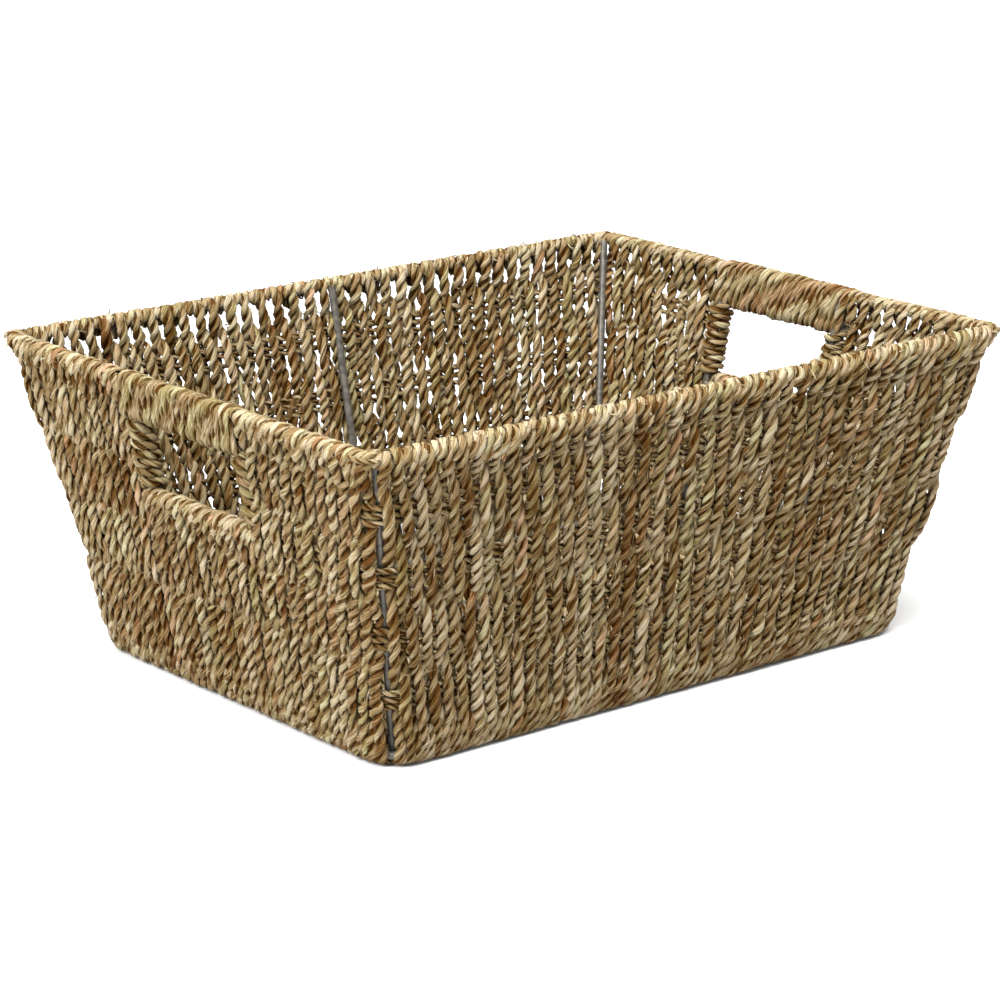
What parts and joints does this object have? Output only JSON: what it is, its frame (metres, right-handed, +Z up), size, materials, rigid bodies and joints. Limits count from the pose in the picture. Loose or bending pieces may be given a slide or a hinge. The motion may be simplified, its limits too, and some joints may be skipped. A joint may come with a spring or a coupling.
{
  "type": "seagrass storage basket",
  "caption": "Rectangular open-top basket with flared sides, woven from twisted seagrass cord over a steel wire frame, with a wrapped rim and a hand hole in each short side.",
  "frame": {"origin": "middle of the underside, on the plane that the basket stands on", "axes": "+X along the long side, +Y along the short side towards the back, +Z up; the hand holes are in the -X (left) and +X (right) walls"},
  "size_m": [0.4, 0.308, 0.163],
  "materials": {
    "seagrass": "dry twisted seagrass cord, khaki brown, matt with a faint leaf sheen",
    "seagrass_binding": "dry twisted seagrass cord, pale straw, matt with a faint leaf sheen",
    "seagrass_rib": "dry twisted seagrass cord, darker brown, matt",
    "wire": "dark grey lacquered steel wire, semi-matt"
  },
  "bodies": {
    "root": {"rim_wire": "wire", "base_wire": "wire", "corner_wire_front_left": "wire", "corner_wire_front_right": "wire", "corner_wire_back_left": "wire", "corner_wire_back_right": "wire", "side_u_wire": "wire", "handle_u_wire_front": "wire", "handle_u_wire_back": "wire", "grip_wire_left": "wire", "grip_wire_right": "wire", "sill_wire_left": "wire", "sill_wire_right": "wire", "rim_binding_front": "seagrass_binding", "rim_binding_back": "seagrass_binding", "grip_wrap_left": "seagrass_binding", "grip_wrap_right": "seagrass_binding", "sill_wrap_left": "seagrass_binding", "sill_wrap_right": "seagrass_binding", "post_wrap_front_left": "seagrass_binding", "post_wrap_front_right": "seagrass_binding", "post_wrap_back_left": "seagrass_binding", "post_wrap_back_right": "seagrass_binding", "rib_1_front": "seagrass_rib", "rib_1_back": "seagrass_rib", "rib_2_front": "seagrass_rib", "rib_2_back": "seagrass_rib", "rib_3": "seagrass_rib", "rib_4": "seagrass_rib", "base_ribs": "seagrass_rib", "front_weave": "seagrass", "back_weave": "seagrass", "left_weave": "seagrass", "right_weave": "seagrass", "base_weave": "seagrass"}
  },
  "joints": []
}
